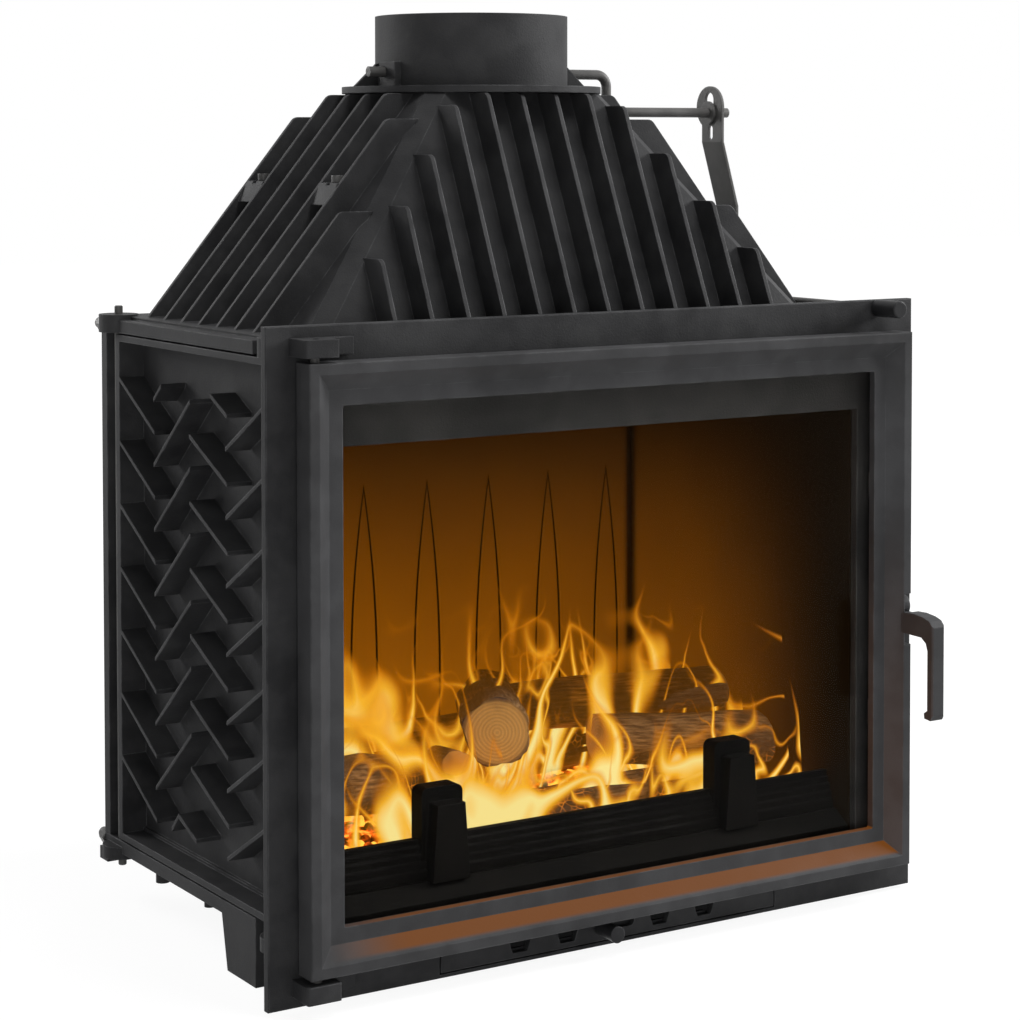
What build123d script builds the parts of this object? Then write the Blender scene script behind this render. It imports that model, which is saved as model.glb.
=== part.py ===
from build123d import *
import os
from math import sin, cos, radians

os.makedirs("parts", exist_ok=True)

# Overall sizes of the insert, in millimetres, resting on Z 0
plate_w = 700.0
plate_h = 575.0
plate_t = 8.0
plate_z = 4.0
handle_reach = 76.0
body_depth = 401.0
stud_out = 20.0
front_y = (handle_reach - body_depth - stud_out) / 2

# Clearances
run_fit = 0.08
slide_gap = 0.4
part_gap = 0.5
seal_gap = 0.3

# Body box between base and hood
body_w = plate_w - 50
wall_t = 9.0
rim_depth = 25.0
rim_t = 8.0
seam_gap = 1.8
base_z = 49.0
base_t = 12.0
box_z = base_z + base_t
hood_flange_z = plate_h - 25
hood_flange_t = 12.0
box_h = hood_flange_z - box_z
rear_t = 12.3
back_y = front_y + body_depth
rear_y = back_y - rear_t
side_front_y = front_y + 50.0
side_rear_y = back_y - 34.0
band_front_y = side_front_y + 24.0
nose_w = body_w - 38

# Tie rods and the round lugs that hold them
rod_x = body_w / 2 - 7.5
rod_front_y = front_y + 38.0
rod_rear_y = back_y - 24.0
rod_d = 8.0
stud_x = body_w / 2 - 7
stud_d = 11.0
stud_in = 11.0
nut_r = 9.8
nut_t = 9.0
lug_r = 19.0
base_lug_z = base_z - 6.0
base_lug_h = 12.0
hood_lug_z = hood_flange_z
hood_lug_h = 17.0
rod_bottom_z = base_lug_z - 9.5
rod_top_z = hood_lug_z + 25.0

# Flue and damper
flue_y = front_y + 248.0
hood_flange_top_z = hood_flange_z + hood_flange_t
hood_top_z = hood_flange_top_z + 216.0
collar_id = 181.0
collar_t = 3.5
collar_od = collar_id + 2 * collar_t
collar_top_z = hood_top_z + 75.0
disc_r = collar_od / 2 + 32.5
disc_t = 6.5
axle_z = hood_top_z + 20.5
axle_d = 10.0
crank_r = 37.5
crank_x = disc_r + 33.0
neck_r = collar_id / 2 - 2.0
blade_r = neck_r - 3.5
blade_t = 3.0
seat_z = axle_z + 13.5
strap_t = 3.0
pull_x = body_w / 2 - 18.5
pull_z = hood_flange_top_z + 9.2
pull_eye_r = 5.6
pull_d = 8.0
strap_foot_x = pull_x + 3.0
strap_head_x = strap_foot_x - 19.0
pin_end_x = strap_head_x + 21.0
strap_w = 34.0
strap_shift = 4.5
head_r = 22.0
slot_play = 2.2

# Hood
hood_base_z = hood_flange_top_z
hood_w0 = body_w - 99.0
hood_front0 = front_y + 59.0
hood_rear0 = back_y - 15.0
hood_w1 = 195.0
hood_front1 = flue_y - 92.0
hood_rear1 = flue_y + 92.0
hood_t = 6.0
ridge_cut = 14.0
rib_out = 30.0
rib_t = 4.2
rib_pitch = 37.5
throat_r = neck_r + 0.5
seat_h = 3.0
web_z = hood_base_z + 112.0
web_h = 20.0

# Door
door_w = plate_w - 50
door_h = plate_h - 60
door_x = 1.0
door_z = plate_z + 30.0
door_gap = 5.3
door_t = 24.0
door_back_y = front_y - door_gap
door_front_y = door_back_y - door_t
door_mid_z = door_z + door_h / 2
face_w = 9.4
bevel_w = 23.7
bevel_d = 11.6
light_w = 37.0
pocket_w = 25.0
glass_t = 4.0
gasket_t = 0.8
glass_lap = 9.0
seal_in = 10.0
seal_w = 8.0
seal_sunk = 3.0
hinge_x = door_x - door_w / 2 + 11
hinge_y = front_y - 17.5
hinge_pin_d = 8.0
hinge_h = 15.0
hinge_gap = 4.7

# Front plate openings
mouth_w = plate_w - 136
mouth_z = plate_z + 61.0
mouth_top_z = plate_z + plate_h - 104.0
notch_w = 368.0
notch_z = plate_z + 3.4
notch_top_z = 36.0
air_hole_w = 25.0
air_pitch = 50.6
air_hole_z = 13.5
air_hole_top_z = 29.0
shutter_z = 12.0
shutter_h = 19.0
shutter_t = 3.0
shutter_w = 236.0
skirt_y = front_y + 30.0
skirt_z = 1.5
air_stem_x = -15.8
air_stem_z = 22.0
air_stem_d = 7.0
air_slot_w = 44.0
air_panel_t = 6.0
knob_d = 15.0

# Handle
handle_x = door_x + door_w / 2 - 6.5
handle_w = 9.0
hub_y = front_y - 15.0
hub_z = door_z + door_h / 2 - 7.5
hub_r = 10.0
grip_w = 15.0
grip_d = 7.5
grip_h = 98.0
arm_top_z = hub_z - 3.0
notch_z0 = hub_z - 36.0
notch_z1 = hub_z + 13.0
pin_r = 3.0
pin_reach = 15.0

# Firebox
lining_t = 9.5
lining_x = body_w / 2 - rim_depth - wall_t - lining_t - part_gap
lining_y = rear_y - lining_t - part_gap
lining_front_y = front_y + plate_t + part_gap
lining_top_z = 500.0
baffle_t = 8.0
grate_y = front_y + 205.0
grate_w = 216.0
grate_d = 166.0


def wall(y):
    return Plane(origin=(0, y, 0), x_dir=(1, 0, 0), z_dir=(0, -1, 0))


def side(x):
    return Plane.YZ.offset(x)


def save(piece, name):
    piece.part.label = name
    export_step(piece.part, "parts/" + name + ".step")


# Base casting with legs, corner lugs, a skirt behind the air panel and a grate seat
pad_x = body_w / 2 - 20
with BuildPart() as base_casting:
    with BuildSketch(Plane.XY.offset(base_z)):
        with Locations((0, (band_front_y + back_y) / 2)):
            Rectangle(body_w, back_y - band_front_y)
        with Locations((0, (front_y + plate_t + band_front_y) / 2)):
            Rectangle(nose_w, band_front_y - front_y - plate_t)
    extrude(amount=base_t)
    with BuildSketch(Plane.XY.offset(base_lug_z)):
        for y in (rod_front_y, rod_rear_y):
            with Locations((rod_x, y), (-rod_x, y)):
                Circle(lug_r)
    extrude(amount=base_lug_h)
    with BuildSketch(wall(back_y + nut_t)):
        for x in (-stud_x, stud_x):
            with Locations((x, base_z - 9)):
                Rectangle(2 * nut_r - 2, 12)
    extrude(amount=nut_t + 10)
    with BuildSketch(Plane.XY.offset(skirt_z)):
        with Locations((0, skirt_y + 2)):
            Rectangle(notch_w + 24, 4)
    extrude(amount=base_z - skirt_z)
    for x in (-body_w / 2, body_w / 2 - 9):
        with BuildSketch(side(x)):
            with BuildLine():
                Polyline(
                    (band_front_y, 0),
                    (band_front_y + 56, 0),
                    (band_front_y + 67, base_z),
                    (band_front_y, base_z),
                    close=True,
                )
            make_face()
        extrude(amount=9)
        with BuildSketch(Plane.XY):
            with Locations((x + 4.5, band_front_y + 28)):
                Rectangle(9, 56)
        extrude(amount=3)
    for x in (-130, 130):
        with BuildSketch(Plane.XY):
            with Locations((x, front_y + 335)):
                Rectangle(24, 60)
        extrude(amount=base_z, taper=2)
    for x in (-pad_x, pad_x):
        with Locations((x, front_y + 311, base_z - 18)):
            Cylinder(6.5, 19, align=(Align.CENTER, Align.CENTER, Align.MIN))
        with Locations((x, front_y + 208, base_z - 15)):
            Cylinder(5, 16, align=(Align.CENTER, Align.CENTER, Align.MIN))
    with BuildSketch(Plane.XY.offset(base_z)):
        with Locations((0, grate_y)):
            Rectangle(grate_w - 16, grate_d - 16)
    extrude(amount=base_t, mode=Mode.SUBTRACT)
    with BuildSketch(Plane.XY.offset(box_z - 6)):
        with Locations((0, grate_y)):
            Rectangle(grate_w, grate_d)
    extrude(amount=6, mode=Mode.SUBTRACT)
    for y in (rod_front_y, rod_rear_y):
        with Locations((rod_x, y, base_z), (-rod_x, y, base_z)):
            Cylinder(rod_d / 2 + run_fit, 60, mode=Mode.SUBTRACT)
    with BuildSketch(wall(back_y)):
        with Locations((-stud_x, base_z + base_t / 2), (stud_x, base_z + base_t / 2)):
            Circle(stud_d / 2 + run_fit)
    extrude(amount=stud_in, mode=Mode.SUBTRACT)
save(base_casting, "base_casting")

# Side panel with a rim and a basket pattern of cast fins
fin_step = 60.5
fin_top_z = hood_flange_z - 41
fin_low_z = box_z + 31
fin_h = 3.9
rows = [
    (side_rear_y - 6, 0.0, side_rear_y - 88, 44.8),
    (side_rear_y - 165, 9.0, side_rear_y - 86, 74.7),
    (side_rear_y - 163.5, 40.1, side_rear_y - 240.7, 75.6),
    (side_front_y + 2.5, 0.3, side_front_y + 79, 44.5),
]
bars = []
for k in range(-1, int((fin_top_z - fin_low_z) / fin_step) + 1):
    for y0, drop0, y1, drop1 in rows:
        z0 = fin_top_z - drop0 - fin_step * k
        z1 = fin_top_z - drop1 - fin_step * k
        if z0 > fin_top_z:
            y0 = y1 + (y0 - y1) * (fin_top_z - z1) / (z0 - z1)
            z0 = fin_top_z
        if fin_low_z < z1 < fin_top_z - 5:
            bars.append((y0, z0, y1, z1))
peak_y = side_rear_y - 135.7
bars.append((peak_y, box_z + 55.8, peak_y + 14.7, box_z + 40.1))
bars.append((peak_y, box_z + 55.8, peak_y - 37.7, box_z + 41.2))

with BuildPart() as side_panel_left:
    with BuildSketch(side(-body_w / 2 + rim_depth)):
        with Locations(((front_y + plate_t + rear_y) / 2, box_z + box_h / 2)):
            Rectangle(rear_y - front_y - plate_t - 2 * part_gap, box_h - 2 * part_gap)
    extrude(amount=wall_t)
    with BuildSketch(side(-body_w / 2)):
        with Locations(((side_front_y + side_rear_y) / 2, box_z + box_h / 2)):
            Rectangle(side_rear_y - side_front_y, box_h - 2 * seam_gap)
            Rectangle(side_rear_y - side_front_y - 2 * rim_t, box_h - 2 * rim_t, mode=Mode.SUBTRACT)
    extrude(amount=rim_depth)
    with BuildSketch(side(-body_w / 2)):
        for y0, z0, y1, z1 in bars:
            with BuildLine():
                Polyline((y0, z0), (y1, z1), (y1, z1 - fin_h), (y0, z0 - fin_h), close=True)
            make_face()
    extrude(amount=rim_depth)
    with BuildSketch(side(-body_w / 2 + rim_depth - 3)):
        with Locations(((side_front_y + side_rear_y) / 2, box_z + rim_t + 1.5)):
            Rectangle(side_rear_y - side_front_y - rim_t, 3)
    extrude(amount=4)
save(side_panel_left, "side_panel_left")

with BuildPart() as side_panel_right:
    mirror(side_panel_left.part, about=Plane.YZ)
save(side_panel_right, "side_panel_right")

# Rear panel held between base and hood
with BuildPart() as rear_panel:
    with BuildSketch(wall(rear_y)):
        with Locations((0, box_z + box_h / 2)):
            Rectangle(body_w, box_h - 2 * part_gap)
    extrude(amount=-rear_t)
    with BuildSketch(wall(rear_y + 5)):
        with Locations((0, box_z + box_h / 2)):
            Rectangle(body_w - 60, box_h - 60)
    extrude(amount=-rear_t, mode=Mode.SUBTRACT)
save(rear_panel, "rear_panel")

# Studs with nuts at the rear corners of base and hood
stud_spots = []
for x in (-stud_x, stud_x):
    stud_spots.append((x, base_z + base_t / 2))
    stud_spots.append((x, hood_flange_z + hood_flange_t / 2))
with BuildPart() as rear_studs:
    for x, z in stud_spots:
        with BuildSketch(wall(back_y - stud_in)):
            with Locations((x, z)):
                Circle(stud_d / 2)
        extrude(amount=-(stud_in + stud_out))
save(rear_studs, "rear_studs")

with BuildPart() as rear_nuts:
    for x, z in stud_spots:
        with BuildSketch(wall(back_y)):
            with Locations((x, z)):
                RegularPolygon(nut_r, 6)
                Circle(stud_d / 2 + run_fit, mode=Mode.SUBTRACT)
        extrude(amount=-nut_t)
save(rear_nuts, "rear_nuts")

# Tie rods that clamp hood and base together
with BuildPart() as tie_rods:
    for y in (rod_front_y, rod_rear_y):
        with Locations((rod_x, y, rod_bottom_z), (-rod_x, y, rod_bottom_z)):
            Cylinder(
                rod_d / 2, rod_top_z - rod_bottom_z, align=(Align.CENTER, Align.CENTER, Align.MIN)
            )
    chamfer(edges().filter_by(GeomType.CIRCLE), 0.8)
save(tie_rods, "tie_rods")

# Front plate with the mouth of the firebox and the notch for the air panel
with BuildPart() as front_plate:
    with BuildSketch(wall(front_y)):
        with Locations((0, plate_z + plate_h / 2)):
            Rectangle(plate_w, plate_h)
        with Locations((0, (mouth_z + mouth_top_z) / 2)):
            Rectangle(mouth_w, mouth_top_z - mouth_z, mode=Mode.SUBTRACT)
        with Locations((0, (notch_z + notch_top_z) / 2)):
            Rectangle(notch_w, notch_top_z - notch_z, mode=Mode.SUBTRACT)
        with Locations((handle_x + handle_w / 2, hub_z - 11)):
            Rectangle(handle_w + 5, 40, mode=Mode.SUBTRACT)
        with Locations((pull_x, pull_z)):
            Circle(pull_d / 2 + run_fit, mode=Mode.SUBTRACT)
    extrude(amount=-plate_t)
    chamfer(faces().sort_by(Axis.Y)[0].outer_wire().edges(), 0.8)
save(front_plate, "front_plate")

# Hood casting
with BuildPart() as smoke_hood:
    with BuildSketch(Plane.XY.offset(hood_flange_z)):
        with Locations((0, (band_front_y + back_y) / 2)):
            Rectangle(body_w, back_y - band_front_y)
        with Locations((0, (front_y + plate_t + part_gap + band_front_y) / 2)):
            Rectangle(nose_w, band_front_y - front_y - plate_t - part_gap)
    extrude(amount=hood_flange_t)
    with BuildSketch(Plane.XY.offset(hood_base_z)):
        with Locations((0, (hood_front0 - rib_out - 4 + back_y - 4) / 2)):
            Rectangle(hood_w0 + 2 * rib_out + 14, back_y - hood_front0 + rib_out)
    extrude(amount=seat_h)
    with BuildSketch(Plane.XY.offset(hood_lug_z)):
        for y in (rod_front_y, rod_rear_y):
            with Locations((rod_x, y), (-rod_x, y)):
                Circle(lug_r)
    extrude(amount=hood_lug_h)
    with BuildSketch(Plane.XY.offset(hood_base_z)) as foot_outline:
        with Locations((0, (hood_front0 + hood_rear0) / 2)):
            Rectangle(hood_w0, hood_rear0 - hood_front0)
        chamfer(vertices(), ridge_cut)
    with BuildSketch(Plane.XY.offset(hood_top_z)) as top_outline:
        with Locations((0, (hood_front1 + hood_rear1) / 2)):
            Rectangle(hood_w1, hood_rear1 - hood_front1)
        chamfer(vertices(), ridge_cut)
    loft()
    rise = hood_top_z - hood_base_z
    lean_x = (hood_w0 - hood_w1) / 2 / rise
    lean_f = (hood_front1 - hood_front0) / rise
    lean_r = (hood_rear0 - hood_rear1) / rise
    for i in range(12):
        x = (i - 5.5) * rib_pitch
        head = min(hood_top_z - 1, hood_base_z + (hood_w0 / 2 - abs(x) - 14) / lean_x)
        y1 = hood_front0 + lean_f * (head - hood_base_z)
        with BuildSketch(side(x)):
            with BuildLine():
                Polyline(
                    (hood_front0 - rib_out, hood_base_z - 1),
                    (y1 - rib_out, head),
                    (y1 + 3, head),
                    (hood_front0 + 3, hood_base_z - 1),
                    close=True,
                )
            make_face()
            fillet(vertices().group_by(Axis.Y)[-1].sort_by(Axis.X)[0], 9)
        extrude(amount=rib_t / 2, both=True)
    for i in range(7):
        y = flue_y + (i - 3.5) * rib_pitch
        back = hood_base_z + (hood_rear0 - y - 3) / lean_r
        ahead = hood_base_z + (y - 9.5 - hood_front0) / lean_f
        head = min(hood_top_z - 1, back, ahead)
        x1 = hood_w0 / 2 - lean_x * (head - hood_base_z)
        for turn in (-1, 1):
            with BuildSketch(wall(y)):
                with BuildLine():
                    Polyline(
                        (turn * (hood_w0 / 2 + rib_out + 1), hood_base_z - 1),
                        (turn * (x1 + rib_out), head),
                        (turn * (x1 - 3), head),
                        (turn * (hood_w0 / 2 - 3), hood_base_z - 1),
                        close=True,
                    )
                make_face()
                fillet(vertices().group_by(Axis.Y)[-1].sort_by(Axis.X)[0 if turn < 0 else -1], 9)
            extrude(amount=rib_t / 2, both=True)
    web_w = rib_pitch - rib_t + 1
    for i in (1, 5):
        y = flue_y + (i - 3) * rib_pitch
        for turn in (-1, 1):
            x0 = hood_w0 / 2 - lean_x * (web_z - hood_base_z)
            with BuildSketch(wall(y)):
                with BuildLine():
                    Polyline(
                        (turn * (x0 + rib_out - 5), web_z),
                        (turn * (x0 + rib_out - 15), web_z + web_h),
                        (turn * (x0 - 20), web_z + web_h),
                        (turn * (x0 - 2), web_z),
                        close=True,
                    )
                make_face()
            extrude(amount=web_w / 2, both=True)
            with BuildSketch(Plane.XY.offset(web_z)):
                with Locations((turn * (x0 + 8), y)):
                    Rectangle(16, 7)
            extrude(amount=40, mode=Mode.SUBTRACT)
    with BuildSketch(Plane.XY.offset(hood_flange_z)):
        with Locations((0, (hood_front0 + hood_rear0) / 2)):
            Rectangle(hood_w0 - 2 * hood_t, hood_rear0 - hood_front0 - 2 * hood_t)
    with BuildSketch(Plane.XY.offset(hood_top_z - 10)):
        with Locations((0, (hood_front1 + hood_rear1) / 2)):
            Rectangle(hood_w1 - 2 * hood_t, hood_rear1 - hood_front1 - 2 * hood_t)
    loft(mode=Mode.SUBTRACT)
    with Locations((0, flue_y, hood_top_z)):
        Cylinder(throat_r, 60, mode=Mode.SUBTRACT)
    for y in (rod_front_y, rod_rear_y):
        with Locations((rod_x, y, hood_flange_z), (-rod_x, y, hood_flange_z)):
            Cylinder(rod_d / 2 + run_fit, 60, mode=Mode.SUBTRACT)
    with BuildSketch(wall(back_y)):
        with Locations((-stud_x, hood_flange_z + hood_flange_t / 2)):
            Circle(stud_d / 2 + run_fit)
        with Locations((stud_x, hood_flange_z + hood_flange_t / 2)):
            Circle(stud_d / 2 + run_fit)
    extrude(amount=stud_in, mode=Mode.SUBTRACT)
save(smoke_hood, "smoke_hood")

screw_x = hood_w0 / 2 - lean_x * (web_z - hood_base_z) + 6
with BuildPart() as hood_screws:
    for i in (1, 5):
        y = flue_y + (i - 3) * rib_pitch
        with Locations((screw_x, y, web_z + web_h), (-screw_x, y, web_z + web_h)):
            Cylinder(5.5, 7, align=(Align.CENTER, Align.CENTER, Align.MIN))
save(hood_screws, "hood_screws")

# Flue collar with a round flange, bearing tab and gussets
with BuildPart() as flue_collar:
    with Locations((0, flue_y, hood_top_z)):
        Cylinder(disc_r, disc_t, align=(Align.CENTER, Align.CENTER, Align.MIN))
        Cylinder(
            collar_od / 2, collar_top_z - hood_top_z, align=(Align.CENTER, Align.CENTER, Align.MIN)
        )
    with BuildSketch(side(-collar_od / 2 - 4)):
        with Locations((flue_y - 6.5, hood_top_z + 17)):
            Rectangle(29, 26)
    extrude(amount=7)
    for turn in (-1, 1):
        with BuildSketch(wall(flue_y - turn * 24)):
            with BuildLine():
                Polyline(
                    (turn * (neck_r - 2), hood_top_z + disc_t),
                    (turn * (disc_r - 9), hood_top_z + disc_t),
                    (turn * (collar_od / 2 - 1), hood_top_z + 29),
                    (turn * (neck_r - 2), hood_top_z + 29),
                    close=True,
                )
            make_face()
        extrude(amount=2, both=True)
    with Locations((0, flue_y, seat_z)):
        Cylinder(neck_r, 300, mode=Mode.SUBTRACT)
        Cylinder(
            collar_id / 2, 100, align=(Align.CENTER, Align.CENTER, Align.MIN), mode=Mode.SUBTRACT
        )
    with Locations(Location((0, flue_y, axle_z), (0, 90, 0))):
        Cylinder(axle_d / 2 + run_fit, 260, mode=Mode.SUBTRACT)
save(flue_collar, "flue_collar")

# Damper axle, bent from one rod with a crank pin at its end
pin_z = axle_z - crank_r
with BuildPart() as damper_axle:
    with BuildLine():
        FilletPolyline(
            (-collar_od / 2 - 21, flue_y, axle_z),
            (crank_x, flue_y, axle_z),
            (crank_x, flue_y, pin_z),
            (pin_end_x, flue_y, pin_z),
            radius=12,
        )
    axle_end = (-collar_od / 2 - 21, flue_y, axle_z)
    with BuildSketch(Plane(origin=axle_end, x_dir=(0, 1, 0), z_dir=(1, 0, 0))):
        Circle(axle_d / 2)
    sweep()
    with BuildSketch(Plane.XY.offset(axle_z - axle_d)):
        with Locations((-40, flue_y), (40, flue_y)):
            Circle(2.5)
    extrude(amount=2 * axle_d, mode=Mode.SUBTRACT)
save(damper_axle, "damper_axle")

blade_z = axle_z - axle_d / 2 - blade_t
with BuildPart() as damper_blade:
    with BuildSketch(Plane.XY.offset(blade_z)):
        with Locations((0, flue_y)):
            Circle(blade_r)
        with Locations((-40, flue_y), (40, flue_y)):
            Circle(2.5, mode=Mode.SUBTRACT)
    extrude(amount=blade_t)
save(damper_blade, "damper_blade")

with BuildPart() as blade_screws:
    with BuildSketch(Plane.XY.offset(blade_z)):
        with Locations((-40, flue_y), (40, flue_y)):
            Circle(2.4)
    extrude(amount=axle_d + blade_t + 1)
    with BuildSketch(Plane.XY.offset(blade_z - 3)):
        with Locations((-40, flue_y), (40, flue_y)):
            RegularPolygon(4.6, 6)
    extrude(amount=3)
save(blade_screws, "blade_screws")

with BuildPart() as crank_washer:
    with BuildSketch(side(strap_head_x - strap_t / 2 - slide_gap - 2.5)):
        with Locations((flue_y, pin_z)):
            Circle(12)
            Circle(axle_d / 2 + 0.02, mode=Mode.SUBTRACT)
    extrude(amount=2.5)
save(crank_washer, "crank_washer")

# Damper strap, joggled outwards, with the slot that drives the crank pin
slot_w = axle_d + 2 * slot_play
head_z = pin_z + 5.5
bend_z = pin_z - 30
knee_z = pin_z - 97
with BuildPart() as damper_strap:
    with BuildSketch(wall(flue_y)):
        with BuildLine():
            Polyline(
                (strap_head_x - strap_t / 2, head_z + 40),
                (strap_head_x + strap_t / 2, head_z + 40),
                (strap_head_x + strap_t / 2, bend_z),
                (strap_foot_x + strap_t / 2, knee_z),
                (strap_foot_x + strap_t / 2, pull_z - pull_eye_r),
                (strap_foot_x - strap_t / 2, pull_z - pull_eye_r),
                (strap_foot_x - strap_t / 2, knee_z - 0.5),
                (strap_head_x - strap_t / 2, bend_z - 0.5),
                close=True,
            )
        make_face()
    extrude(amount=30, both=True)
    with BuildSketch(side(0)):
        with Locations((flue_y - strap_shift, (pull_z - pull_eye_r + head_z) / 2)):
            Rectangle(strap_w, head_z - pull_z + pull_eye_r)
        with Locations((flue_y, head_z)):
            Circle(head_r)
        with Locations((flue_y, pin_z + crank_r * 0.18)):
            SlotOverall(crank_r * 0.36 + slot_w + 0.6, slot_w, rotation=90, mode=Mode.SUBTRACT)
        with Locations((flue_y - strap_shift / 2, pin_z - 20.5)):
            SlotOverall(15, 7.5, rotation=90, mode=Mode.SUBTRACT)
        with Locations((flue_y, pull_z)):
            Circle(3.0 + run_fit, mode=Mode.SUBTRACT)
    extrude(amount=400, mode=Mode.INTERSECT)
save(damper_strap, "damper_strap")

# Pull rod with a flattened eye
eye_t = 3.0
eye_x = strap_foot_x - strap_t / 2 - eye_t
with BuildPart() as damper_rod:
    with BuildSketch(wall(front_y - 4)):
        with Locations((pull_x, pull_z)):
            Circle(pull_d / 2)
    extrude(amount=-(flue_y - 12 - front_y + 4))
    with BuildSketch(side(eye_x)):
        with Locations((flue_y - 12, pull_z)):
            Rectangle(30, 7)
        with Locations((flue_y, pull_z)):
            Circle(pull_eye_r)
            Circle(3.0 + run_fit, mode=Mode.SUBTRACT)
    extrude(amount=eye_t)
    with BuildSketch(side(eye_x + eye_t)):
        with Locations((flue_y, pull_z)):
            Rectangle(2 * head_r + 1, 40)
    extrude(amount=20, mode=Mode.SUBTRACT)
save(damper_rod, "damper_rod")

with BuildPart() as strap_bolt:
    with BuildSketch(side(eye_x - 2.4)):
        with Locations((flue_y, pull_z)):
            RegularPolygon(4.8, 6)
    extrude(amount=2.4)
    with BuildSketch(side(eye_x - 2.4)):
        with Locations((flue_y, pull_z)):
            Circle(3.0)
    extrude(amount=eye_t + strap_t + 2.4)
    with BuildSketch(side(strap_foot_x + strap_t / 2)):
        with Locations((flue_y, pull_z)):
            RegularPolygon(5.4, 6)
    extrude(amount=4)
save(strap_bolt, "strap_bolt")

with BuildPart() as damper_knob:
    with BuildSketch(wall(front_y - 1)):
        with Locations((pull_x, pull_z)):
            Circle(knob_d / 2 + 0.8)
    extrude(amount=33)
    fillet(edges().filter_by(GeomType.CIRCLE).sort_by(Axis.Y)[0], 1.5)
    with BuildSketch(wall(front_y - 4)):
        with Locations((pull_x, pull_z)):
            Circle(pull_d / 2)
    extrude(amount=-10, mode=Mode.SUBTRACT)
save(damper_knob, "damper_knob")

# Air panel in the notch of the front plate
with BuildPart() as air_panel:
    with BuildSketch(wall(front_y)):
        with Locations((0, (notch_z + 1.3 + notch_top_z - part_gap) / 2)):
            Rectangle(notch_w - 3, notch_top_z - part_gap - notch_z - 1.3)
        for i in (-2, -1, 1, 2):
            with BuildLine():
                Polyline(
                    (i * air_pitch - air_hole_w / 2 + 5, air_hole_z),
                    (i * air_pitch + air_hole_w / 2 - 5, air_hole_z),
                    (i * air_pitch + air_hole_w / 2, air_hole_top_z - 2),
                    (i * air_pitch + air_hole_w / 2, air_hole_top_z),
                    (i * air_pitch - air_hole_w / 2, air_hole_top_z),
                    (i * air_pitch - air_hole_w / 2, air_hole_top_z - 2),
                    close=True,
                )
            make_face(mode=Mode.SUBTRACT)
        with Locations((0, air_stem_z)):
            SlotOverall(air_slot_w, air_stem_d + 2, mode=Mode.SUBTRACT)
    extrude(amount=-air_panel_t)
    with BuildSketch(wall(front_y + air_panel_t)):
        with Locations((0, shutter_z - slide_gap - 1.2), (0, shutter_z + shutter_h + slide_gap + 1.2)):
            Rectangle(300, 2.4)
    extrude(amount=-5)
    with BuildSketch(wall(front_y + air_panel_t + slide_gap + shutter_t + slide_gap)):
        with Locations((0, shutter_z - 0.6), (0, shutter_z + shutter_h + 0.6)):
            Rectangle(300, 3.6)
    extrude(amount=-1.2)
save(air_panel, "air_panel")

# Sliding air shutter
shutter_y = front_y + air_panel_t + slide_gap
with BuildPart() as air_shutter:
    with BuildSketch(wall(shutter_y)):
        with Locations((-12, shutter_z + shutter_h / 2)):
            Rectangle(shutter_w, shutter_h)
        for i in (-2, -1, 1, 2):
            with Locations((i * air_pitch + 4, shutter_z + shutter_h / 2)):
                Rectangle(20, shutter_h - 7, mode=Mode.SUBTRACT)
    extrude(amount=-shutter_t)
save(air_shutter, "air_shutter")

with BuildPart() as air_stem:
    with BuildSketch(wall(shutter_y)):
        with Locations((air_stem_x, air_stem_z)):
            Circle(air_stem_d / 2)
    extrude(amount=air_panel_t + slide_gap + 4)
save(air_stem, "air_stem")

with BuildPart() as air_knob:
    with BuildSketch(wall(front_y - 1)):
        with Locations((air_stem_x, air_stem_z)):
            Circle(knob_d / 2 - 0.8)
    with BuildSketch(wall(front_y - 29)):
        with Locations((air_stem_x, air_stem_z)):
            Circle(knob_d / 2)
    loft()
    with BuildSketch(wall(front_y)):
        with Locations((air_stem_x, air_stem_z)):
            Circle(air_stem_d / 2)
    extrude(amount=4, mode=Mode.SUBTRACT)
save(air_knob, "air_knob")

# Hinge blocks on the front plate and their pins
block_x = hinge_x + 1
block_w = 32.0
with BuildPart() as hinge_blocks:
    for z in (door_z - hinge_gap - hinge_h, door_z + door_h + hinge_gap):
        with BuildSketch(Plane.XY.offset(z)):
            with Locations((block_x, front_y - 15)):
                Rectangle(block_w, 30)
            fillet(vertices().group_by(Axis.Y)[0], 2)
            with Locations((block_x + block_w / 2 + 12, front_y - 4)):
                Rectangle(26, 8)
        extrude(amount=hinge_h)
        with Locations((hinge_x, hinge_y, z + hinge_h / 2)):
            Cylinder(hinge_pin_d / 2, hinge_h + 2, mode=Mode.SUBTRACT)
save(hinge_blocks, "hinge_blocks")

pin_in = 22.0
with BuildPart() as hinge_pins:
    low_z = door_z - hinge_gap - hinge_h + 1
    top_z = door_z + door_h + hinge_gap + hinge_h - 1
    with Locations((hinge_x, hinge_y, low_z)):
        Cylinder(
            hinge_pin_d / 2,
            hinge_gap + hinge_h - 1 + pin_in,
            align=(Align.CENTER, Align.CENTER, Align.MIN),
        )
    with Locations((hinge_x, hinge_y, top_z)):
        Cylinder(
            hinge_pin_d / 2,
            hinge_gap + hinge_h - 1 + pin_in,
            align=(Align.CENTER, Align.CENTER, Align.MAX),
        )
save(hinge_pins, "hinge_pins")

# Places of the glass clips, with the side that each one points out to
clip_in = 26.5
clip_spots = []
for x in (-220, 220):
    clip_spots.append((door_x + x, door_mid_z + door_h / 2 - clip_in, 0))
    clip_spots.append((door_x + x, door_mid_z - door_h / 2 + clip_in, 180))
for z in (-110, 110):
    clip_spots.append((door_x - door_w / 2 + clip_in, door_mid_z + z, 270))
    clip_spots.append((door_x + door_w / 2 - clip_in, door_mid_z + z, 90))
glass_y = door_back_y - glass_t - gasket_t

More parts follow.
